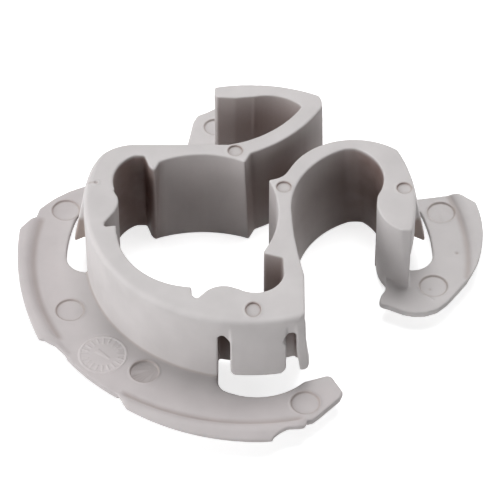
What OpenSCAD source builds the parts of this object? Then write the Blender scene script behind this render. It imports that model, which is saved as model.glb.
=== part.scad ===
// Snap-in tubing isolator for a round hole in a thin metal stud.
// One moulded piece: a flanged ring with three open tube seats.
// Origin: axis of the stud hole, at the lowest face. Units are millimetres.

/* [Body] */
// Overall height, the depth of the tube seats
height = 18.8; // [17:0.2:22]
// Radius of the plug that enters the stud hole
plug_r = 30; // [29.7:0.1:30.3]
// Rounding of the outer top edge of the ring
edge_round = 1; // [0.4:0.1:1.4]
// Rounding of the outer top edge of the two arms
arm_round = 0.4; // [0.2:0.1:0.8]

/* [Flange] */
// Height of the flange face above the lowest face
flange_top = 4.1; // [3.2:0.1:5]
// Thickness of the flange plate
flange_t = 1.4; // [1:0.1:2]
// Radius of the plain part of the flange
flange_r = 41; // [40.4:0.1:41.6]
// Distance of the lobe crease inside the flange edge
crease_in = 1; // [0.8:0.1:1.4]
// Radius of the bulge a lobe makes across its width
lobe_bulge_r = 5; // [4.6:0.1:5.4]
// Thickness of a lobe near its crease
lobe_t = 0.7; // [0.6:0.05:0.9]
// Angle in degrees at which a lobe rises from its crease
lobe_rise = 22; // [16:1:26]

/* [Seats] */
// Radius of the large tube seat
large_seat_r = 14.3; // [14:0.1:14.6]
// Radius of the back of the medium tube seat
medium_seat_r = 8.05; // [7.8:0.05:8.3]
// Radius of the back of the small tube seat
small_seat_r = 8.7; // [8.4:0.1:9]
// Radius of the foot of the concave saddle opposite the large seat
saddle_r = 21.9; // [21.4:0.1:22.4]
// Lean of the saddle face in degrees
saddle_lean = 6.4; // [5:0.2:7]
// Half angle of the cone that hollows the saddle
saddle_taper = 19; // [17:0.5:21]
// Radius of the hollow side of the hinge neck
neck_r = 19; // [18.9:0.05:19.1]

/* [Snaps] */
// Height of the snap tips above the lowest face
snap_z = 7; // [6.4:0.1:8]
// How far the snap tips stand out from the plug
snap_out = 2.2; // [1.6:0.1:2.6]
// Width of each snap
snap_w = 9.8; // [8:0.2:10]
// Thickness of the front finger
finger_t = 2.2; // [1.6:0.1:2.6]

/* [Moulding marks] */
// Radius of the round pin marks on the flange
mark_r = 2.5; // [2:0.1:2.8]
// Radius of the pin marks on the top face
top_mark_r = 1.3; // [1:0.05:1.5]
// Depth of the pin marks
mark_depth = 0.25; // [0.1:0.05:0.4]
// Radius of the date dial
dial_r = 4.4; // [4:0.1:4.6]

/* [Hidden] */
$fa = 3;
$fs = 0.35;
big = 60;
flange_z = flange_top - flange_t;
crease_r = flange_r - crease_in;
snap_r = plug_r + snap_out;
slot_top = height - 5.6;
gap_r = plug_r - 4.8;
finger_x0 = -3.4;
side_y0 = 0.6;
slot_x0 = -5.6;
slot_x1 = 8.2;
window_r = plug_r + 3.7;
window_round = 3.95;
lobe_step = 10;
lobe_thinning = 0.3;
back_y = 14.1;
side_x = 9.65;

// Plug with a rounded outer top edge
module envelope(er) {
  translate([0, 0, -1])
    cylinder(h = height - er + 1, r = plug_r);
  cylinder(h = height, r = plug_r - er);
  translate([0, 0, height - er])
    rotate_extrude()
      translate([plug_r - er, 0])
        circle(r = er);
}

// Corners of the ring with the large seat
corner_r = 8;
corner_y = back_y - corner_r;
corner_x = -sqrt(pow(plug_r - corner_r, 2) - pow(corner_y, 2));
nose_r = 2;
nose_x = side_x - nose_r;
nose_y = -sqrt(pow(plug_r - nose_r, 2) - pow(nose_x, 2));

// Everything the ring covers, seen from above
module ring_blank() {
  intersection() {
    circle(r = plug_r);
    union() {
      translate([corner_x, corner_y])
        circle(r = corner_r);
      translate([nose_x, nose_y])
        circle(r = nose_r);
      polygon([
        [corner_x, back_y], [corner_x, corner_y],
        2 * [corner_x, corner_y], [-big, -big],
        2 * [nose_x, nose_y], [nose_x, nose_y], [side_x, nose_y],
        [side_x, -18.4], [9.15, -16], [8.6, -13.2], [8.4, -12],
        [-0.4, -12], [-0.4, 4], [1.9, 4], [1.9, 12], [-0.4, back_y]
      ]);
    }
  }
}

// Everything left open inside the ring
module ring_hollow() {
  // seat of the large tube
  translate([-9.5, -7])
    circle(r = large_seat_r);
  // pocket behind the left wall
  intersection() {
    translate([-18, 5])
      circle(r = 6.85);
    polygon([[-26, 1], [-26, 11.1], [-19.3, 11.1], [-18.7, 9.4], [-17, 4]]);
  }
  // pocket in the front right corner
  intersection() {
    translate([1, -17.5])
      circle(r = 5.1);
    translate([-4, -23])
      square([10, 12]);
  }
  // middle of the ring, with the nub on the left and the solid bump in front
  difference() {
    polygon([
      [-19.3, 11.1], [-18.9, 9.9], [-18.4, 8.45], [-17.8, 7.65],
      [-17.3, 7.5], [-16.8, 6.5], [1.9, 6.5], [1.9, 20],
      [side_x + 1, 20], [side_x + 1, -13], [5.9, -14.4], [6, -17.5],
      [1, -20], [-2.2, -21.6], [-2.2, -26], [-7.2, -26], [-7.7, -22.3],
      [-9.3, -24.05], [-10.15, -23.1], [-10.25, -21.2], [-12.25, -20.7],
      [-12, -12], [-22.9, -11.3], [-23.85, -8.2], [-23.95, -6.3],
      [-26.05, -6.7], [-26.1, -5.8], [-25.1, -4.25], [-24.3, -3],
      [-23.85, -1.7], [-23.7, -0.3], [-23.85, 0.7], [-24.7, 2.4], [-22, 5]
    ]);
    translate([-4.6, -25.4])
      circle(r = 4.42);
    translate([-8.6, -27.4])
      square([8, 3.6]);
  }
}

module ring() {
  difference() {
    linear_extrude(height)
      difference() {
        ring_blank();
        ring_hollow();
      }
    saddle_cut();
    saddle_side();
  }
}

// Saddle: a cone whose face leans back from the foot to the top
module saddle_cut() {
  below = 10;
  above = 32;
  intersection() {
    translate([-8.8, 9.3, 0])
      rotate([-saddle_lean - saddle_taper, 0, 0])
        translate([0, -saddle_r, -below])
          cylinder(
            h = below + above,
            r1 = saddle_r + below * tan(saddle_taper),
            r2 = saddle_r - above * tan(saddle_taper)
          );
    translate([0, 0, -1])
      linear_extrude(height + 2)
        polygon([
          [-17.3, 2], [-17.3, 7.5], [-16.3, 9.9], [-15, 13], [2.5, 13],
          [2.5, 2]
        ]);
  }
}

// Narrow leaning face between the saddle and the small arm
module saddle_side() {
  translate([-0.5, 10.3, height])
    rotate([0, 0, -24.5])
      rotate([0, -4.3, 0])
        translate([0, -8, -height - 3])
          cube([12, 16, height + 6]);
}

// Hinge neck between the ring and the medium seat
module neck() {
  linear_extrude(height)
    difference() {
      polygon([
        [2.5, -13.3], [5.9, -14.4], [6, -17.5], [side_x, -18.4],
        [9.15, -16], [8.6, -13.2], [7.9, -8.5], [7.6, -4.2], [12, -1],
        [12, 6], [7.1, 7.6], [6.7, 6.8], [6.1, 6.05], [5, 5.4],
        [3.8, 5.05], [3, 4.85], [2.7, 4.4], [3.1, 3.6], [2, 0]
      ]);
      translate([5.13 - neck_r, -3])
        circle(r = neck_r);
    }
}

// Outside of the curved arm
module medium_blank() {
  intersection() {
    translate([19.15, 2.3])
      circle(r = 13.1);
    translate([4, side_y0])
      square([30, 20]);
  }
  translate([22.95, side_y0])
    square([8, 3]);
}

// Hooked tip: its left and front faces lean towards the foot
module medium_tip() {
  intersection() {
    translate([30.9, -0.7, height])
      rotate([0, -1.2, 0])
        translate([0, 0, -height - 2])
          cylinder(h = height + 4, r = 8);
    translate([20, -7.75, height])
      rotate([-2, 0, 0])
        translate([0, 0, -height - 2])
          cube([12, 10, height + 4]);
    cylinder(h = height, r = plug_r);
  }
}

// Hollow of the arm: its back is trimmed by a cylinder that leans
module medium_hollow() {
  intersection() {
    translate([0, 0, -1])
      linear_extrude(height + 2)
        union() {
          translate([16.3, 5.45])
            circle(r = medium_seat_r);
          polygon([
            [4, -20], [22.9, -20], [22.9, -1], [23.1, 0.9],
            [23.6, 2.3], [16.3, 5.4], [4, 5.4]
          ]);
        }
    translate([24.7, -2.9, 0])
      rotate([-2.7, -3.6, 0])
        translate([0, 0, -3])
          linear_extrude(height + 6)
            seat_back();
  }
}

// Plan of the leaning back wall of the seat, with a rounded crown
module seat_back() {
  intersection() {
    circle(r = 16);
    union() {
      translate([-4.8, 8])
        circle(r = 6.9);
      translate([-17, -17])
        square([9, 34]);
      translate([-17, -17])
        square([34, 25]);
    }
  }
}

module medium_hook() {
  difference() {
    union() {
      linear_extrude(height)
        medium_blank();
      medium_tip();
      neck();
    }
    medium_hollow();
    // the tip ends a little above the foot
    translate([20, side_y0 - 12, -1])
      cube([12, 12, 1.9]);
    // flat relief of the tip below the top edge, beside the snap
    translate([plug_r - 1, side_y0 - 11, -1])
      cube([12, 11.05, height - 5.6]);
  }
}

// Front face of the arm, a cylinder that leans forward to the foot
module small_front() {
  translate([-10.04, 36.5, height])
    rotate([-6.2, 0, 0])
      translate([0, 0, -height - 5])
        cylinder(h = height + 10, r = 26.6);
}

module small_outline() {
  difference() {
    union() {
      polygon([
        [-12.4, back_y], [-12.4, 6], [10.6, 6], [10.6, 40], [-6.6, 40],
        [-6.6, back_y]
      ]);
      // rounded outer corner of the arm
      translate([9.5, 24.9])
        circle(r = 4);
      polygon([[9, 14], [18, 12], [13.45, 24.6], [10.6, 26]]);
    }
    small_hollow();
  }
}

// Everything left open inside the small arm
module small_hollow() {
  intersection() {
    translate([-8.35, 34.26])
      circle(r = 20.7);
    union() {
      translate([3.2, 18.2])
        circle(r = small_seat_r);
      polygon([
        [-20, 0], [3, 0], [5, 22], [0.6, 26.6], [-2.7, 26.2], [-6.1, 26.45],
        [-6.6, 27.2], [-20, 27.2]
      ]);
    }
  }
}

module small_hook() {
  difference() {
    intersection() {
      linear_extrude(height)
        small_outline();
      small_front();
    }
    saddle_cut();
  }
}

// The flange is drawn in three parts: left, right and back
module plate_left() {
  difference() {
    polygon([
      [-24, 11], [-24.5, 14.5], [-27.5, 18.6], [-30.6, 17.9],
      [-33.8, 16.4], [-36.3, 14.7], [-37.7, 13.4], [-39.35, 11.7],
      [-40.3, 9.1], [-48, -20], [-40, -48], [6.7, -48], [6.7, -40.95],
      [9.6, -40.9], [12.4, -38.2], [15.95, -34.4], [16.5, -33],
      [16.3, -32.6], [15.4, -31], [14.6, -29.5], [14.1, -29.3],
      [13.4, -29.3], [11.4, -30], [9.4, -30.7], [2, -24],
      [slot_x0, -23], [-22, -10], [-20, 5]
    ]);
    // clearance round the front finger
    intersection() {
      translate([1.2, -22.45])
        circle(r = 11.7);
      union() {
        translate([slot_x0 + 3, -30.4])
          circle(r = 3);
        translate([slot_x0, -30.4])
          square([20, 17]);
        translate([slot_x0 + 3, -40])
          square([20, 17]);
      }
    }
  }
}

module plate_right() {
  polygon([
    [26, 10], [27.3, 13.9], [31.8, 14.35], [35.7, 15],
    [36.9, 15.3], [38.9, 15.6], [48, 15], [48, -1.2], [42.4, -1.2],
    [41.7, -2.6], [41, -4.1], [40.1, -5.8], [39.2, -7.1],
    [37, -10.2], [35.8, -11.8], [33.9, -13.5], [31.8, -14.3],
    [29.9, -14.4], [28.1, -14.05], [26.5, -13.3], [25.3, -12.7],
    [24.2, -12.3], [23.6, -11.9], [23.5, -11.3], [23.8, -10.1],
    [24.7, -8.6], [24.9, -6], [25, 0]
  ]);
}

module plate_back() {
  polygon([
    [-12, 26], [-11.9, 28.8], [-11.45, 31.3], [-10.9, 34.8],
    [-10.1, 36.6], [-8.6, 37.35], [-7.3, 38.2], [-6, 39], [-5, 48],
    [12.4, 48], [12.9, 38], [12.9, 30], [11, 25], [-6.6, 26.3]
  ]);
}

// Opening in the flange below a snap
module snap_window(y0) {
  difference() {
    union() {
      translate([window_r - window_round, y0])
        circle(r = window_round);
      intersection() {
        circle(r = window_r);
        translate([20, y0])
          square([20, snap_w + 1]);
      }
    }
    circle(r = plug_r - 1.2);
  }
}

module plate() {
  translate([0, 0, flange_z])
    linear_extrude(flange_t)
      difference() {
        intersection() {
          circle(r = flange_r);
          union() {
            difference() {
              union() {
                plate_left();
                plate_back();
              }
              circle(r = plug_r - 1.2);
            }
            plate_right();
          }
        }
        snap_window(side_y0 - 0.4);
        mirror([1, 0])
          snap_window(side_y0 - 0.9);
        rotate(90)
          snap_window(-finger_x0 - snap_w);
        // room for the sloping lobes
        difference() {
          lobe_outline();
          circle(r = crease_r);
        }
      }
}

// Plan of the four bearing lobes
module lobe_outline() {
  // left
  intersection() {
    translate([17, 3])
      circle(r = flange_r + 18.8);
    polygon([
      [-36, 9.6], [-39.6, 9.6], [-40.7, 8.3], [-42.3, 7], [-42.8, 6.4],
      [-50, 5], [-50, -20.4], [-38.3, -20.4], [-37.7, -20.8],
      [-36.9, -21], [-35.9, -21.7], [-34.8, -22.3], [-33, -24.4],
      [-30, -24], [-34, -16]
    ]);
  }
  // front
  intersection() {
    translate([1, -4.9])
      circle(r = flange_r - 1.8);
    polygon([
      [-20, -32], [-23.4, -33.6], [-21.5, -37.2], [-17.8, -39.4],
      [-16, -50], [4.1, -50], [4.1, -43.5], [4.8, -42.85], [5.6, -42.1],
      [6.7, -41.35], [9.6, -41.3], [10, -40.4], [9.4, -38], [0, -36]
    ]);
  }
  // right
  intersection() {
    translate([17, 7])
      circle(r = flange_r - 14.7);
    polygon([
      [36, 14], [36.9, 15.3], [39.1, 15.4], [40.6, 14.5], [42.8, 13.7],
      [50, 12], [50, -1.2], [42.4, -1.2], [41.7, -2.6], [41, -4.1],
      [40.1, -5.8], [39.2, -7.1], [36, -2]
    ]);
  }
  // rear
  intersection() {
    translate([2, 3])
      circle(r = flange_r - 2);
    polygon([
      [-5.4, 36], [-5.4, 41], [-4.6, 50], [10, 50], [11.5, 41], [11.5, 36]
    ]);
  }
}

// Bearing lobes: beyond the crease the rim rises and rolls over
module lobes() {
  bulge_x = crease_r + lobe_bulge_r * sin(lobe_rise);
  bulge_z = flange_top - lobe_bulge_r * cos(lobe_rise);
  inner_r = lobe_bulge_r - lobe_t;
  // the underside's centre lies further out, so the lobe thins outwards
  inner_x = bulge_x + lobe_thinning;
  first = -lobe_rise - lobe_step;
  last = 78;
  top = [
    for (a = [first:lobe_step:last])
      [bulge_x + lobe_bulge_r * sin(a), bulge_z + lobe_bulge_r * cos(a)]
  ];
  under = [
    for (a = [last:-lobe_step:first])
      [inner_x + inner_r * sin(a), bulge_z - 0.1 + inner_r * cos(a)]
  ];
  intersection() {
    rotate_extrude()
      polygon(concat(top, under));
    linear_extrude(height)
      lobe_outline();
  }
}

// Outward slope shared by all snaps
module snap_cone() {
  rotate_extrude()
    polygon([
      [plug_r - 4, snap_z - 0.4], [snap_r - 1.2, snap_z - 0.4],
      [snap_r - 0.4, snap_z - 0.1], [snap_r - 0.1, snap_z + 0.4],
      [plug_r - 0.05, height - 1.1], [plug_r - 4, height - 1.1]
    ]);
}

// Barb on the outside of a wall, pointing along +X
module snap(y0) {
  intersection() {
    rotate_extrude()
      polygon([
        [plug_r - 1.8, snap_z + 2.4], [plug_r - 1.4, snap_z + 2],
        [snap_r - 0.2, snap_z], [snap_r, snap_z + 0.2],
        [plug_r + 0.2, height - 1], [plug_r - 1.8, height - 1]
      ]);
    translate([26, y0, 0])
      cube([8, snap_w, height]);
  }
}

// Clearance in the wall below a barb
module snap_pocket(y0) {
  intersection() {
    difference() {
      translate([0, 0, -1])
        cylinder(h = snap_z + 2.4, r = plug_r + 1);
      translate([0, 0, -2])
        cylinder(h = height, r = plug_r - 1.2);
    }
    translate([26, y0, -1])
      cube([8, snap_w, height]);
  }
}

// Slots and gap that set the front finger free
module front_relief() {
  translate([0, 0, -1])
    linear_extrude(slot_top + 1)
      difference() {
        translate([slot_x0, -big])
          square([slot_x1 - slot_x0, big - 20]);
        circle(r = gap_r);
      }
  // the top of the left slot slants towards the finger
  translate([0, -gap_r, slot_top])
    rotate([90, 0, 0])
      linear_extrude(big)
        polygon([
          [slot_x0, -1], [slot_x0, 1.1], [slot_x0 + 0.5, 1.65],
          [slot_x0 + 1.1, 1.75], [finger_x0 + 0.1, 0], [finger_x0 + 1, -1]
        ]);
  // the wall behind and beside the finger ends at the flange
  translate([slot_x0, -big, -1])
    cube([30, big - 20, flange_z + 1.3]);
  // foot of the wall to the right of the finger
  translate([slot_x1 - 0.1, -big, -1])
    cube([12, big + 5.6 - plug_r, snap_z + 4]);
}

// Rounded top of the right slot, a bite into the side of the finger
module slot_eye() {
  translate([slot_x1 - 1.1, -gap_r, slot_top + 0.8])
    rotate([90, 0, 0])
      cylinder(h = big, r = 1.15);
}

module finger() {
  intersection() {
    difference() {
      snap_cone();
      translate([0, 0, -1])
        cylinder(h = height + 2, r = plug_r - finger_t);
    }
    // sides of the finger, its lower corners cut off
    translate([finger_x0, 7 - plug_r, 0])
      rotate([90, 0, 0])
        linear_extrude(12)
          polygon([
            [0, height], [0, snap_z + 0.8], [0.7, snap_z + 0.05],
            [snap_w - 0.9, snap_z + 0.05], [snap_w, snap_z + 1],
            [snap_w, height]
          ]);
  }
}

// Barb tip on the wall to the right of the finger
module corner_snap() {
  intersection() {
    difference() {
      snap_cone();
      translate([0, 0, -1])
        cylinder(h = height + 2, r = plug_r - 2);
    }
    translate([0, 2.2 - plug_r, 0])
      rotate([90, 0, 0])
        linear_extrude(7.2)
          polygon([
            [slot_x1, height], [slot_x1, 11.5], [slot_x1 + 0.8, 6],
            [slot_x1 + 1.6, 6.2], [slot_x1 + 2.3, 8], [slot_x1 + 1.7, 13],
            [slot_x1 + 1.5, height]
          ]);
  }
}

// Round marks of the ejector pins
module mark(x, y, z, r, d) {
  translate([x, y, z - d])
    cylinder(h = d + 1, r = r);
}

module marks() {
  mark(-18.7, -28.3, flange_top, mark_r, 2 * mark_depth);
  mark(-32.5, -13.7, flange_top, mark_r, mark_depth);
  mark(9.8, -35.6, flange_top, mark_r, mark_depth);
  mark(35.7, 10.75, flange_top, mark_r, mark_depth);
  mark(33.5, -7.8, flange_top, mark_r, mark_depth);
  mark(-6.7, 33.4, flange_top, mark_r - 0.5, mark_depth);
  mark(-34.3, 11.3, flange_top, mark_r, mark_depth);
  mark(0.6, -26.7, height, top_mark_r, mark_depth);
  mark(-2.65, 12.35, height, top_mark_r, mark_depth);
  mark(6.2, 3.1, height, top_mark_r, mark_depth);
  mark(28, 2.8, height, top_mark_r, mark_depth);
  mark(-27.9, 4.2, height, top_mark_r - 0.4, mark_depth);
}

// Plain date dial: rim, twelve ticks and a pointer
module dial() {
  translate([-26.2, -24.4, flange_top - 0.1]) {
    difference() {
      cylinder(h = 0.3, r = dial_r);
      translate([0, 0, -1])
        cylinder(h = 3, r = dial_r - 0.45);
    }
    for (a = [0:30:330])
      rotate(a)
        translate([dial_r - 1.6, -0.15, 0])
          cube([1.3, 0.3, 0.25]);
    rotate(-40)
      translate([-1.3, -0.35, 0])
        cube([2.6, 0.7, 0.3]);
  }
}

// The whole piece
module isolator() {
  color([0.78, 0.76, 0.75]) {
    difference() {
      union() {
        difference() {
          union() {
            intersection() {
              ring();
              envelope(edge_round);
            }
            intersection() {
              union() {
                small_hook();
                medium_hook();
              }
              envelope(arm_round);
            }
          }
          front_relief();
          snap_pocket(side_y0);
          mirror([1, 0, 0])
            snap_pocket(side_y0);
          rotate(90)
            snap_pocket(-finger_x0 - snap_w);
        }
        plate();
        lobes();
        finger();
        corner_snap();
        snap(side_y0);
        mirror([1, 0, 0])
          snap(side_y0);
        rotate(90)
          snap(-finger_x0 - snap_w);
      }
      marks();
      slot_eye();
    }
    dial();
  }
}

isolator();
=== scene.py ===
"""Looks of the tubing isolator: one moulded plastic piece on a white floor.

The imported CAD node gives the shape. It is turned into a distance field, its edges and
corners are rounded there as a mould leaves them, the pin marks and the date dial are cut
crisply afterwards, and the field becomes the shown mesh.
Lengths are millimetres until the mesh is written in metres.
"""

import math

import bpy
import numpy as np
import openvdb as vdb
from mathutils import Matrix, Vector

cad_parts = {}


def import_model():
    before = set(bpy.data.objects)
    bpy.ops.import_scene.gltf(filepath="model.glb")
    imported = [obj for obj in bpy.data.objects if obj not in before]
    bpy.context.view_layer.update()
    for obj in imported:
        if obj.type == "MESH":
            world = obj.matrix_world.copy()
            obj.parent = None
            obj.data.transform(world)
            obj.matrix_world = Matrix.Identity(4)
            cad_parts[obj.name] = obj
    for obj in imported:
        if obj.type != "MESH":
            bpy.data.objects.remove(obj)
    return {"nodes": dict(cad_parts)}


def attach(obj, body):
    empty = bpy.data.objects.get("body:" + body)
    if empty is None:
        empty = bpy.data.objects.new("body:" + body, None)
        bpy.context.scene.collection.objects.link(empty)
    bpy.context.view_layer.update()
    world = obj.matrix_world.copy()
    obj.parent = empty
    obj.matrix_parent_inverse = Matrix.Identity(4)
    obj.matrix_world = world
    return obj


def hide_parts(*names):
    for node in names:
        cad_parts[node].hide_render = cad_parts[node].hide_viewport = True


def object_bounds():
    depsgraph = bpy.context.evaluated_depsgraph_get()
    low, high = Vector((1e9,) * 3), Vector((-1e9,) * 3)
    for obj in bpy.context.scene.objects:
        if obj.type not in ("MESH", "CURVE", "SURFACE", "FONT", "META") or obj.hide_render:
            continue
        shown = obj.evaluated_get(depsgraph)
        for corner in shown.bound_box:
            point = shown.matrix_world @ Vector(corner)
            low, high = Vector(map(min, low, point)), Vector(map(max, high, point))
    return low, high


MM = 0.001
NODE = "isolator"

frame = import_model()
cad_box = [list(corner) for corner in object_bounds()]


class Field:
    """A signed distance field on a regular grid, in millimetres, negative inside."""

    def __init__(self, points, triangles, voxel, band, margin):
        self.voxel = voxel
        grid = vdb.FloatGrid.createLevelSetFromPolygons(
            points,
            triangles=triangles,
            transform=vdb.createLinearTransform(voxelSize=voxel),
            halfWidth=band / voxel,
        )
        low = np.floor((points.min(0) - margin) / voxel).astype(int)
        high = np.ceil((points.max(0) + margin) / voxel).astype(int)
        self.low = low
        self.values = np.empty(tuple(high - low + 1), np.float32)
        grid.copyToArray(self.values, ijk=tuple(int(i) for i in low))
        axes = [(low[a] + np.arange(self.values.shape[a])) * voxel for a in range(3)]
        self.x = axes[0].astype(np.float32)[:, None, None]
        self.y = axes[1].astype(np.float32)[None, :, None]
        self.z = axes[2].astype(np.float32)[None, None, :]

    def window(self, low, high):
        """Index ranges and coordinates of the box between two corners."""
        start = np.maximum(np.floor(np.array(low) / self.voxel).astype(int) - self.low, 0)
        stop = np.ceil(np.array(high) / self.voxel).astype(int) - self.low + 1
        stop = np.minimum(stop, self.values.shape)
        box = tuple(slice(int(a), int(b)) for a, b in zip(start, stop))
        return box, self.x[box[0]], self.y[:, box[1]], self.z[:, :, box[2]]

    def blur(self, sigma):
        """Rounds every edge and inner corner: a Gaussian over the distances."""
        reach = int(math.ceil(3 * sigma / self.voxel))
        steps = np.arange(-reach, reach + 1)
        weights = np.exp(-0.5 * (steps * self.voxel / sigma) ** 2)
        weights = (weights / weights.sum()).astype(np.float32)
        for axis in range(3):
            padding = [(0, 0)] * 3
            padding[axis] = (reach, reach)
            padded = np.pad(self.values, padding, mode="edge")
            total = np.zeros_like(self.values)
            for offset, weight in enumerate(weights):
                window = [slice(None)] * 3
                window[axis] = slice(offset, offset + self.values.shape[axis])
                total += weight * padded[tuple(window)]
            self.values = total

    def sample(self, points):
        """Distances at points, by trilinear interpolation."""
        place = points / self.voxel - self.low
        cell = np.clip(np.floor(place).astype(int), 0, np.array(self.values.shape) - 2)
        part = (place - cell).astype(np.float32)
        result = np.zeros(len(points), np.float32)
        for corner in np.ndindex(2, 2, 2):
            weight = np.ones(len(points), np.float32)
            for a in range(3):
                weight *= part[:, a] if corner[a] else 1 - part[:, a]
            index = cell + corner
            result += weight * self.values[index[:, 0], index[:, 1], index[:, 2]]
        return result

    def slope(self, points, step):
        """Gradient of the field at points."""
        result = np.empty_like(points)
        for a in range(3):
            shift = np.zeros(3)
            shift[a] = step
            result[:, a] = (self.sample(points + shift) - self.sample(points - shift)) / (2 * step)
        return result

    def surface(self, adaptivity):
        """Points and faces of the zero surface."""
        grid = vdb.FloatGrid(float(self.values.max()))
        grid.transform = vdb.createLinearTransform(voxelSize=self.voxel)
        grid.copyFromArray(self.values, ijk=tuple(int(i) for i in self.low))
        return grid.convertToPolygons(isovalue=0.0, adaptivity=adaptivity)


def fill_mark(field, x, y, z, radius, depth):
    """Closes a CAD pin mark, so that it can be cut crisply later."""
    reach = radius + 0.5
    box, gx, gy, gz = field.window((x - reach, y - reach, z - 1.2), (x + reach, y + reach, z + 0.8))
    side = np.hypot(gx - x, gy - y) - radius - 0.15
    disc = np.maximum(side, np.abs(gz - z + depth + 0.1) - depth - 0.1)
    field.values[box] = np.minimum(field.values[box], disc)


def cut_mark(field, x, y, z, radius, depth, stretch=1.0):
    """Cuts a pin mark with a faint raised rim; it may be longer from front to back."""
    reach = radius * stretch + 1.2
    box, gx, gy, gz = field.window((x - reach, y - reach, z - 2), (x + reach, y + reach, z + 2))
    values = field.values[box]
    side = np.hypot(gx - x, (gy - y) / stretch) - radius
    rim = (side - RIM_WIDTH) / RIM_WIDTH
    values = values - RIM_HEIGHT * np.exp(-(rim**2)) * (np.abs(gz - z) < 1)
    field.values[box] = np.maximum(values, -np.maximum(side, np.abs(gz - z) - depth))


def node_arrays(name):
    """Points, in millimetres, and triangles of a CAD node."""
    mesh = frame["nodes"][name].data
    points = np.empty(len(mesh.vertices) * 3, np.float32)
    mesh.vertices.foreach_get("co", points)
    mesh.calc_loop_triangles()
    triangles = np.empty(len(mesh.loop_triangles) * 3, np.int32)
    mesh.loop_triangles.foreach_get("vertices", triangles)
    return points.reshape(-1, 3) / MM, triangles.reshape(-1, 3).astype(np.uint32)


def mesh_from_faces(name, points, triangles, quads):
    """A mesh in metres from points in millimetres and two lists of faces."""
    mesh = bpy.data.meshes.new(name)
    loops = np.concatenate([triangles.ravel(), quads.ravel()]).astype(np.int32)
    sizes = np.concatenate([np.full(len(triangles), 3), np.full(len(quads), 4)])
    starts = np.concatenate([[0], np.cumsum(sizes)[:-1]]).astype(np.int32)
    mesh.vertices.add(len(points))
    mesh.vertices.foreach_set("co", (points * MM).astype(np.float32).ravel())
    mesh.loops.add(len(loops))
    mesh.loops.foreach_set("vertex_index", loops)
    mesh.polygons.add(len(sizes))
    mesh.polygons.foreach_set("loop_start", starts)
    mesh.update(calc_edges=True)
    mesh.validate()
    return mesh


def decimate(obj, ratio):
    """Merges faces where the surface is flat."""
    modifier = obj.modifiers.new("decimate", "DECIMATE")
    modifier.ratio = ratio
    modifier.use_collapse_triangulate = True
    evaluated = obj.evaluated_get(bpy.context.evaluated_depsgraph_get())
    mesh = bpy.data.meshes.new_from_object(evaluated)
    obj.modifiers.clear()
    obj.data = mesh


def settle(obj, field):
    """Moves the vertices onto the field's surface and takes the normals from its slope."""
    mesh = obj.data
    points = np.empty(len(mesh.vertices) * 3, np.float32)
    mesh.vertices.foreach_get("co", points)
    points = points.reshape(-1, 3).astype(np.float64) / MM
    for _ in range(2):
        slope = field.slope(points, field.voxel / 2)
        steepness = np.maximum((slope**2).sum(1), 0.3)
        move = field.sample(points) / steepness
        points -= np.clip(move, -field.voxel, field.voxel)[:, None] * slope
    slope = field.slope(points, field.voxel / 2)
    normals = slope / np.maximum(np.linalg.norm(slope, axis=1), 1e-6)[:, None]
    mesh.vertices.foreach_set("co", (points * MM).astype(np.float32).ravel())
    mesh.polygons.foreach_set("use_smooth", np.ones(len(mesh.polygons), bool))
    mesh.update()
    mesh.normals_split_custom_set_from_vertices(normals.astype(np.float32))
    paint(mesh, points)


def line(distance, width):
    """Strength of a thin soft line at a distance."""
    return np.exp(-((distance / width) ** 2))


def dirt_and_shade(x, y, z):
    """How brown the piece is at each point: painted shade in creases, at round mark edges and on
    snap sides, dirt in specks and lines.
    """
    radius = np.hypot(x, y)
    on_flange = line(z - FLANGE_TOP, 0.5)
    on_top = line(z - HEIGHT, 0.5)
    foot = (x < 3) & (y < 15)
    # painted shade: a brown line where the wall meets the flange
    brown = 0.75 * line(np.hypot(radius - PLUG_RADIUS, z - FLANGE_TOP), 0.3) * foot
    # painted shade: a brown line around each flange mark's edge, as the shadow of its step
    for mark_x, mark_y, mark_radius, depth in FLANGE_MARKS:
        edge = np.hypot(x - mark_x, y - mark_y) - mark_radius
        brown += 0.6 * line(edge, 0.2) * on_flange
    # painted shade: a brown line around each small mark on the top face, the edge mark too
    for mark_x, mark_y in TOP_MARKS:
        edge = np.hypot(x - mark_x, y - mark_y) - TOP_MARK_RADIUS
        brown += 0.7 * line(edge, 0.18) * on_top
    edge = np.hypot(x - EDGE_MARK[0], (y - EDGE_MARK[1]) / EDGE_MARK_STRETCH) - TOP_MARK_RADIUS
    brown += 0.7 * line(edge, 0.18) * on_top
    scratch = np.hypot(np.maximum(np.abs(x - FAINT_MARK[0] + 0.6) - 0.7, 0), y - FAINT_MARK[1])
    brown += 0.5 * line(scratch, 0.22) * on_top
    for dot_x, dot_y in FLANGE_DOTS:
        brown += 0.7 * line(np.hypot(x - dot_x, y - dot_y), 0.25) * on_flange
    # painted shade: a brown line along each lobe's crease
    brown += 0.45 * line(past_crease(x, y), 0.5) * on_lobe(x, y) * on_flange
    # painted shade: the front side of each snap is made brown between 5 and 13.5 mm up
    beyond = (np.abs(x) > PLUG_RADIUS - 0.6) & (np.abs(y - SNAP_SIDE) < 0.3)
    brown += 0.9 * beyond * between(z, 5, 13.5)
    return np.clip(brown, 0, 1)


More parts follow.
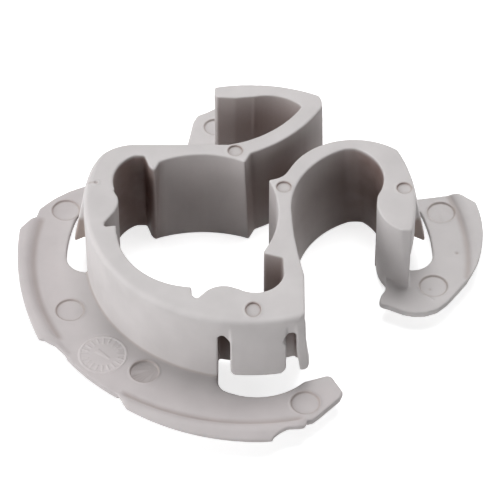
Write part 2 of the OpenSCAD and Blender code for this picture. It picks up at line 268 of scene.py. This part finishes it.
def paint(mesh, points):
    """Stores a tint for every vertex: brown dirt and painted shade, and a paler dial."""
    x, y, z = points.T
    brown = dirt_and_shade(x, y, z)[:, None]
    tint = 1 - brown * (1 - np.array(DIRT_AND_SHADE_TINT))
    in_dial = np.hypot(x - DIAL_PLACE[0], y - DIAL_PLACE[1]) < DIAL_RADIUS + 0.1
    raised = in_dial & (z > FLANGE_TOP + 0.04) & (z < FLANGE_TOP + 1)
    tint *= 1 + (0.05 * (in_dial & (np.abs(z - FLANGE_TOP) < 0.5)) + 0.03 * raised)[:, None]
    values = np.ones((len(points), 4), np.float32)
    values[:, :3] = tint
    layer = mesh.color_attributes.new("tint", "FLOAT_COLOR", "POINT")
    layer.data.foreach_set("color", values.ravel())


VOXEL = 0.2
BAND = 1.0
MARGIN = 1.4
# standard deviation of the blur that rounds the edges
SOFTNESS = 0.17
MOST_TRIANGLES = 180000

HEIGHT = 18.8
FLANGE_TOP = 4.1
PLUG_RADIUS = 30.0
CREASE_RADIUS = 40.1
LEFT_CREASE_RADIUS = 39.7
CREASE_DEPTH = 0.32
BULGE_HEIGHT = 0.36
# side of a snap that faces the front
SNAP_SIDE = 0.6
# small dark specks and a scratch on the right part of the flange
FLANGE_DOTS = [(32.84, -8.44), (38.17, 0.39)]
SCRATCH = [(31.9, -10.0), (33.4, -11.2)]
# brown of the dirt and of the painted shade in creases, at mark edges and on snap sides
DIRT_AND_SHADE_TINT = (0.55, 0.46, 0.41)
MARK_RADIUS = 2.5
MARK_DEPTH = 0.25
TOP_MARK_RADIUS = 1.3
RIM_WIDTH = 0.22
RIM_HEIGHT = 0.1

# place on the flange, radius and depth of each ejector-pin mark
FLANGE_MARKS = [
    (-18.7, -28.3, MARK_RADIUS, 2 * MARK_DEPTH),
    (-32.5, -13.7, MARK_RADIUS, MARK_DEPTH),
    (9.8, -35.6, MARK_RADIUS, MARK_DEPTH),
    (35.7, 10.75, MARK_RADIUS, MARK_DEPTH),
    (33.5, -7.8, MARK_RADIUS, MARK_DEPTH),
    (-34.3, 11.3, MARK_RADIUS, MARK_DEPTH),
    (-6.7, 33.4, MARK_RADIUS - 0.5, MARK_DEPTH),
]
# place on the top face of each small mark
TOP_MARKS = [(-2.65, 12.35), (6.2, 3.1), (28.0, 2.8)]
# the small mark at the rounded front edge of the ring is longer from front to back
EDGE_MARK = (0.6, -26.75, HEIGHT)
EDGE_MARK_STRETCH = 1.25
FAINT_MARK = (-27.9, 4.2)
DIAL_PLACE = (-26.2, -24.4)
DIAL_RADIUS = 4.4
DIAL_TICKS = 20


def fill_cad_marks(field):
    """Closes the CAD's pin marks and shaves off its dial before the edges are rounded."""
    for x, y, radius, depth in FLANGE_MARKS:
        fill_mark(field, x, y, FLANGE_TOP, radius, depth)
    for x, y in TOP_MARKS + [EDGE_MARK[:2], (0.6, -26.7)]:
        fill_mark(field, x, y, HEIGHT, TOP_MARK_RADIUS, MARK_DEPTH)
    fill_mark(field, *FAINT_MARK, HEIGHT, TOP_MARK_RADIUS - 0.4, MARK_DEPTH)
    x, y = DIAL_PLACE
    reach = DIAL_RADIUS + 0.7
    low = (x - reach, y - reach, FLANGE_TOP - 0.6)
    high = (x + reach, y + reach, FLANGE_TOP + 1.2)
    box, gx, gy, gz = field.window(low, high)
    values = field.values[box]
    near = np.hypot(gx - x, gy - y) < DIAL_RADIUS + 0.4
    field.values[box] = np.where(near, np.maximum(values, gz - FLANGE_TOP), values)


def cut_crisp_marks(field):
    """Cuts the pin marks again, with the sharp edges a pin leaves."""
    for x, y, radius, depth in FLANGE_MARKS:
        cut_mark(field, x, y, FLANGE_TOP, radius, depth)
    for x, y in TOP_MARKS:
        cut_mark(field, x, y, HEIGHT, TOP_MARK_RADIUS, MARK_DEPTH + 0.05)
    cut_mark(field, *EDGE_MARK, TOP_MARK_RADIUS, MARK_DEPTH + 0.05, EDGE_MARK_STRETCH)
    cut_mark(field, *FAINT_MARK, HEIGHT, 0.32, 0.1)


def between(value, low, high):
    """1 between two limits, falling to 0 within a millimetre of them."""
    return np.clip(value - low, 0, 1) * np.clip(high - value, 0, 1)


def on_lobe(x, y):
    """1 where one of the four lobes lies, seen from above."""
    left = between(y, -21, 9.6) * (x < -PLUG_RADIUS)
    front = between(x, -22.6, 9.6) * (y < -PLUG_RADIUS)
    right = between(y, -6.5, 15.5) * (x > PLUG_RADIUS)
    rear = between(x, -5.4, 11.6) * (y > PLUG_RADIUS)
    return left + front + right + rear


def past_crease(x, y):
    """How far beyond its lobe's crease a point lies; the left one is nearer in."""
    return np.hypot(x, y) - np.where(x < -PLUG_RADIUS, LEFT_CREASE_RADIUS, CREASE_RADIUS)


def deepen_creases(field):
    """Deepens the crease of each lobe and fills out the bulge beyond it."""
    reach = CREASE_RADIUS + 6
    low = (-reach, -reach, FLANGE_TOP - 0.9)
    high = (reach, reach, FLANGE_TOP + 1.5)
    box, gx, gy, gz = field.window(low, high)
    away = past_crease(gx, gy)
    crease = CREASE_DEPTH * line(away, 0.55) * line(gz - FLANGE_TOP - 0.15, 0.4)
    bulge = BULGE_HEIGHT * line(away - 1.6, 1.0) * line(gz - FLANGE_TOP - 0.3, 0.7)
    field.values[box] += (crease - bulge) * on_lobe(gx, gy)


def carve_scratches(field):
    """Small specks and a scratch on the right part of the flange."""
    (x0, y0), (x1, y1) = SCRATCH
    low = (x0 - 3, y0 - 3, FLANGE_TOP - 0.5)
    high = (FLANGE_DOTS[1][0] + 1, FLANGE_DOTS[1][1] + 1, FLANGE_TOP + 0.6)
    box, gx, gy, gz = field.window(low, high)
    length = math.hypot(x1 - x0, y1 - y0)
    along = ((gx - x0) * (x1 - x0) + (gy - y0) * (y1 - y0)) / length
    across = ((gy - y0) * (x1 - x0) - (gx - x0) * (y1 - y0)) / length
    off_end = np.maximum(np.abs(along - length / 2) - length / 2, 0)
    pit = 0.15 * line(np.hypot(off_end, across), 0.2)
    for x, y in FLANGE_DOTS:
        pit = pit + 0.22 * line(np.hypot(gx - x, gy - y), 0.3)
    field.values[box] += pit * line(gz - FLANGE_TOP, 0.4)


def add_dial(field):
    """Raised rim, ticks and a pointer on the flange."""
    x, y = DIAL_PLACE
    reach = DIAL_RADIUS + 0.7
    low = (x - reach, y - reach, FLANGE_TOP - 0.8)
    high = (x + reach, y + reach, FLANGE_TOP + 1)
    box, gx, gy, gz = field.window(low, high)
    away = np.hypot(gx - x, gy - y)
    raised = np.abs(away - DIAL_RADIUS + 0.2) - 0.17
    for step in range(DIAL_TICKS):
        angle = step * math.tau / DIAL_TICKS
        along = (gx - x) * math.cos(angle) + (gy - y) * math.sin(angle)
        across = (gy - y) * math.cos(angle) - (gx - x) * math.sin(angle)
        tick = np.maximum(np.abs(along - DIAL_RADIUS + 1.2) - 0.6, np.abs(across) - 0.1)
        raised = np.minimum(raised, tick)
    turn = math.radians(-40)
    along = (gx - x) * math.cos(turn) + (gy - y) * math.sin(turn)
    across = (gy - y) * math.cos(turn) - (gx - x) * math.sin(turn)
    pointer = np.maximum(np.abs(along) - 1.5, np.abs(across) - 0.3 + 0.12 * along)
    raised = np.minimum(raised, pointer)
    relief = np.maximum(raised, np.abs(gz - FLANGE_TOP) - 0.12)
    field.values[box] = np.minimum(field.values[box], relief)


def moulded_piece():
    """The whole isolator with softened edges, crisp pin marks and a crisp dial."""
    points, triangles = node_arrays(NODE)
    field = Field(points, triangles, VOXEL, BAND, MARGIN)
    fill_cad_marks(field)
    field.blur(SOFTNESS)
    deepen_creases(field)
    cut_crisp_marks(field)
    carve_scratches(field)
    add_dial(field)
    found, three, four = field.surface(0.0)
    obj = bpy.data.objects.new("moulding", mesh_from_faces("moulding", found, three, four))
    bpy.context.scene.collection.objects.link(obj)
    count = len(three) + 2 * len(four)
    if count > MOST_TRIANGLES:
        decimate(obj, MOST_TRIANGLES / count)
    settle(obj, field)
    return obj


def noise_ramp(nodes, links, vector, scale, detail, low, high):
    """A noise texture remapped to run between two values."""
    noise = nodes.new("ShaderNodeTexNoise")
    noise.inputs["Scale"].default_value = scale
    noise.inputs["Detail"].default_value = detail
    spread = nodes.new("ShaderNodeMapRange")
    spread.inputs["From Min"].default_value = 0.3
    spread.inputs["From Max"].default_value = 0.7
    spread.inputs["To Min"].default_value = low
    spread.inputs["To Max"].default_value = high
    links.new(vector, noise.inputs["Vector"])
    links.new(noise.outputs["Fac"], spread.inputs["Value"])
    return spread.outputs["Result"]


def ramp(nodes, links, value, low, high):
    """A value remapped to rise from 0 to 1 between two limits."""
    spread = nodes.new("ShaderNodeMapRange")
    spread.inputs["From Min"].default_value = low
    spread.inputs["From Max"].default_value = high
    links.new(value, spread.inputs["Value"])
    return spread.outputs["Result"]


def multiplied(nodes, links, factors):
    """The product of several values."""
    total = factors[0]
    for factor in factors[1:]:
        product = nodes.new("ShaderNodeMath")
        product.operation = "MULTIPLY"
        links.new(total, product.inputs[0])
        links.new(factor, product.inputs[1])
        total = product.outputs[0]
    return total


def away_from(nodes, links, vector, x, y):
    """Distance from an upright line, seen from above."""
    flat = nodes.new("ShaderNodeVectorMath")
    flat.operation = "MULTIPLY"
    flat.inputs[1].default_value = (1, 1, 0)
    links.new(vector, flat.inputs[0])
    away = nodes.new("ShaderNodeVectorMath")
    away.operation = "DISTANCE"
    away.inputs[1].default_value = (x, y, 0)
    links.new(flat.outputs[0], away.inputs[0])
    return away.outputs["Value"]


def hollow_shade_walls(nodes, links, vector, parts):
    """1 on the walls that get the painted hollow shade: in the plug, off the neck and the tip."""
    radius = away_from(nodes, links, vector, 0, 0)
    neck_masks = [
        ramp(nodes, links, parts["X"], 0.0005, 0.0015),
        ramp(nodes, links, parts["X"], 0.0075, 0.0065),
        ramp(nodes, links, parts["Y"], -0.0135, -0.0125),
        ramp(nodes, links, parts["Y"], 0.001, 0.0),
    ]
    tip_masks = [
        ramp(nodes, links, parts["X"], 0.0205, 0.0215),
        ramp(nodes, links, parts["Y"], 0.0, -0.0015),
    ]
    rest = ramp(nodes, links, radius, 0.0293, 0.0283)
    for masks in (neck_masks, tip_masks):
        less = nodes.new("ShaderNodeMath")
        less.operation = "SUBTRACT"
        less.use_clamp = True
        links.new(rest, less.inputs[0])
        links.new(multiplied(nodes, links, masks), less.inputs[1])
        rest = less.outputs[0]
    return rest


def flange_grime_and_shade(nodes, links, vector, parts):
    """How much the flange is darkened, painted shade and grime together: away from the wall, on the
    left and in front.
    """
    radius = away_from(nodes, links, vector, 0, 0)
    masks = [
        ramp(nodes, links, parts["Z"], 0.0054, 0.0048),
        ramp(nodes, links, radius, 0.0305, 0.036),
        ramp(nodes, links, parts["X"], 0.024, 0.014),
        ramp(nodes, links, parts["Y"], 0.026, 0.018),
        noise_ramp(nodes, links, vector, 90, 3, 0.8, 1.05),
    ]
    return multiplied(nodes, links, masks)


def stain_and_shade(nodes, links, vector, parts, inside):
    """Smudges and painted shade at the back of the medium seat and in the left pocket."""
    seat_masks = [
        ramp(nodes, links, away_from(nodes, links, vector, *MEDIUM_SEAT), 0.0087, 0.0083),
        ramp(nodes, links, parts["X"], 0.0135, 0.0205),
    ]
    pocket_masks = [
        ramp(nodes, links, parts["X"], -0.0155, -0.0185),
        ramp(nodes, links, parts["Y"], -0.003, 0.003),
        ramp(nodes, links, parts["Y"], 0.013, 0.012),
    ]
    either = nodes.new("ShaderNodeMath")
    either.operation = "MAXIMUM"
    links.new(multiplied(nodes, links, seat_masks), either.inputs[0])
    links.new(multiplied(nodes, links, pocket_masks), either.inputs[1])
    masks = [
        either.outputs[0],
        inside,
        ramp(nodes, links, parts["Z"], 0.0186, 0.0179),
        noise_ramp(nodes, links, vector, 130, 5, 0.6, 1.15),
    ]
    return multiplied(nodes, links, masks)


def darkened(nodes, links, colour, strength, shade):
    """A colour multiplied by a shade, as far as a strength says."""
    mix = nodes.new("ShaderNodeMix")
    mix.data_type = "RGBA"
    mix.blend_type = "MULTIPLY"
    mix.inputs["B"].default_value = shade
    links.new(strength, mix.inputs["Factor"])
    links.new(colour, mix.inputs["A"])
    return mix.outputs["Result"]


def plastic():
    """Warm grey moulded plastic: faint mottling, soft sheen; painted shade in hollows and creases,
    with grime and smudges.
    """
    material = bpy.data.materials.new("grey_plastic")
    material.use_nodes = True
    nodes = material.node_tree.nodes
    links = material.node_tree.links
    shader = nodes["Principled BSDF"]
    coordinates = nodes.new("ShaderNodeTexCoord")
    vector = coordinates.outputs["Object"]
    mottle = noise_ramp(nodes, links, vector, 160, 4, 0.95, 1.04)
    cloud = noise_ramp(nodes, links, vector, 40, 2, 0.98, 1.02)
    # painted shade: the colour darkens and browns where ambient occlusion finds the walls enclosed
    openness = nodes.new("ShaderNodeAmbientOcclusion")
    openness.samples = 12
    openness.only_local = True
    openness.inputs["Distance"].default_value = HOLLOW_REACH
    hollow_shade = nodes.new("ShaderNodeMix")
    hollow_shade.data_type = "RGBA"
    hollow_shade.inputs["A"].default_value = HOLLOW_SHADE_COLOUR
    hollow_shade.inputs["B"].default_value = PLASTIC_COLOUR
    depth = nodes.new("ShaderNodeMapRange")
    depth.inputs["From Min"].default_value = HOLLOW_CLOSED
    depth.inputs["From Max"].default_value = HOLLOW_OPEN
    links.new(openness.outputs["AO"], depth.inputs["Value"])
    parts = nodes.new("ShaderNodeSeparateXYZ")
    links.new(vector, parts.inputs[0])
    inside = hollow_shade_walls(nodes, links, vector, parts.outputs)
    shade = nodes.new("ShaderNodeMix")
    shade.inputs["A"].default_value = 1
    links.new(inside, shade.inputs["Factor"])
    links.new(depth.outputs["Result"], shade.inputs["B"])
    links.new(shade.outputs["Result"], hollow_shade.inputs["Factor"])
    tint = nodes.new("ShaderNodeAttribute")
    tint.attribute_name = "tint"
    tinted = nodes.new("ShaderNodeVectorMath")
    tinted.operation = "MULTIPLY"
    links.new(hollow_shade.outputs["Result"], tinted.inputs[0])
    links.new(tint.outputs["Color"], tinted.inputs[1])
    # painted shade with grime on the flange, and painted shade with smudges in the seats
    grime_and_shade = flange_grime_and_shade(nodes, links, vector, parts.outputs)
    smudges_and_shade = stain_and_shade(nodes, links, vector, parts.outputs, inside)
    grimy_and_shaded = darkened(nodes, links, tinted.outputs[0], grime_and_shade, FLANGE_GRIME_AND_SHADE)
    stained_and_shaded = darkened(nodes, links, grimy_and_shaded, smudges_and_shade, STAIN_AND_SHADE)
    colour = nodes.new("ShaderNodeVectorMath")
    colour.operation = "SCALE"
    links.new(stained_and_shaded, colour.inputs[0])
    links.new(multiplied(nodes, links, [mottle, cloud]), colour.inputs["Scale"])
    links.new(colour.outputs[0], shader.inputs["Base Color"])
    shader.inputs["Specular IOR Level"].default_value = 0.3
    roughness = noise_ramp(nodes, links, vector, 500, 2, 0.52, 0.64)
    links.new(roughness, shader.inputs["Roughness"])
    return material


PLASTIC_COLOUR = (0.577, 0.546, 0.542, 1)
# painted shade and grime: a darker, pinker flange towards the front and the left
FLANGE_GRIME_AND_SHADE = (0.88, 0.855, 0.86, 1)
# painted shade and smudges in the medium seat and the left pocket
STAIN_AND_SHADE = (0.52, 0.42, 0.39, 1)
# centre of the medium seat, in metres
MEDIUM_SEAT = (0.0163, 0.0055)
# painted shade: deep hollows are given a darker, browner colour the more enclosed they are
HOLLOW_SHADE_COLOUR = (0.165, 0.102, 0.086, 1)
HOLLOW_REACH = 0.028
HOLLOW_CLOSED = 0.09
HOLLOW_OPEN = 0.97
FLOOR_ALBEDO = 0.7
FLOOR_GLOW = 0.75
FLOOR_RADIUS = 3.0


def background_rays(nodes, links):
    """1 for the rays that see the background: camera, reflected and transmitted."""
    path = nodes.new("ShaderNodeLightPath")
    total = path.outputs["Is Camera Ray"]
    for kind in ("Is Glossy Ray", "Is Transmission Ray"):
        add = nodes.new("ShaderNodeMath")
        links.new(total, add.inputs[0])
        links.new(path.outputs[kind], add.inputs[1])
        total = add.outputs[0]
    return total


def floor_material():
    """Plain pale floor that shows white to the camera and keeps its shadow."""
    material = bpy.data.materials.new("floor_white")
    material.use_nodes = True
    nodes = material.node_tree.nodes
    links = material.node_tree.links
    nodes.clear()
    output = nodes.new("ShaderNodeOutputMaterial")
    diffuse = nodes.new("ShaderNodeBsdfDiffuse")
    diffuse.inputs["Color"].default_value = (FLOOR_ALBEDO, FLOOR_ALBEDO, FLOOR_ALBEDO, 1)
    glow = nodes.new("ShaderNodeEmission")
    strength = nodes.new("ShaderNodeMath")
    strength.operation = "MULTIPLY"
    strength.inputs[1].default_value = FLOOR_GLOW
    add = nodes.new("ShaderNodeAddShader")
    links.new(background_rays(nodes, links), strength.inputs[0])
    links.new(strength.outputs[0], glow.inputs["Strength"])
    links.new(diffuse.outputs[0], add.inputs[0])
    links.new(glow.outputs[0], add.inputs[1])
    links.new(add.outputs[0], output.inputs["Surface"])
    return material


def floor():
    """A plain disc under the piece."""
    sides = 96
    corners = [i * math.tau / sides for i in range(sides)]
    ring = [(FLOOR_RADIUS * math.cos(a), FLOOR_RADIUS * math.sin(a), 0) for a in corners]
    mesh = bpy.data.meshes.new("floor")
    mesh.from_pydata(ring, [], [list(range(sides))])
    obj = bpy.data.objects.new("floor", mesh)
    bpy.context.scene.collection.objects.link(obj)
    obj.location.z = cad_box[0][2] - 0.00002
    obj.data.materials.append(floor_material())
    return obj


def softbox(name, azimuth, elevation, power, tint):
    """A square lamp that looks at the piece; azimuth 0 is in front, 270 on the left."""
    light = bpy.data.lights.new(name, "AREA")
    light.shape = "SQUARE"
    light.size = 0.45
    light.energy = power
    light.color = tint
    obj = bpy.data.objects.new(name, light)
    bpy.context.scene.collection.objects.link(obj)
    turn = math.radians(azimuth)
    up = math.radians(elevation)
    direction = Vector((
        math.sin(turn) * math.cos(up), -math.cos(turn) * math.cos(up), math.sin(up)
    ))
    obj.location = direction * 0.8
    obj.rotation_euler = (-direction).to_track_quat("-Z", "Y").to_euler()
    return obj


def world():
    """White to the camera and in reflections; it lights nothing."""
    scene_world = bpy.data.worlds.new("studio")
    bpy.context.scene.world = scene_world
    scene_world.use_nodes = True
    nodes = scene_world.node_tree.nodes
    links = scene_world.node_tree.links
    background = nodes["Background"]
    background.inputs["Color"].default_value = (1, 1, 1, 1)
    links.new(background_rays(nodes, links), background.inputs["Strength"])


def camera():
    """The photograph's viewpoint: 47 degrees above the floor, from far in front."""
    elevation = math.radians(47)
    distance = 532.9 * MM
    target = Vector((0.05, -12.56, 18.8)) * MM
    data = bpy.data.cameras.new("camera")
    data.sensor_width = 36
    data.lens = 216
    data.clip_start = 0.01
    obj = bpy.data.objects.new("camera", data)
    bpy.context.scene.collection.objects.link(obj)
    direction = Vector((0, -math.cos(elevation), math.sin(elevation)))
    obj.location = target + distance * direction
    obj.rotation_euler = (-direction).to_track_quat("-Z", "Y").to_euler()
    bpy.context.scene.camera = obj


piece = moulded_piece()
piece.data.materials.append(plastic())
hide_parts(NODE)
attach(piece, "root")

floor()
world()
camera()
LAMP_TINT = (0.985, 0.995, 1.0)
# name, azimuth, elevation, power in watts, tint
SOFTBOXES = [
    ("front_left", 315, 14, 3.1, LAMP_TINT),
    ("left", 270, 16, 2.9, LAMP_TINT),
    ("top_back", 180, 72, 4.9, LAMP_TINT),
    ("back_right", 135, 14, 1.9, LAMP_TINT),
    ("front_right", 45, 14, 1.0, LAMP_TINT),
]
for box in SOFTBOXES:
    softbox(*box)
bpy.context.scene.view_settings.view_transform = "Standard"
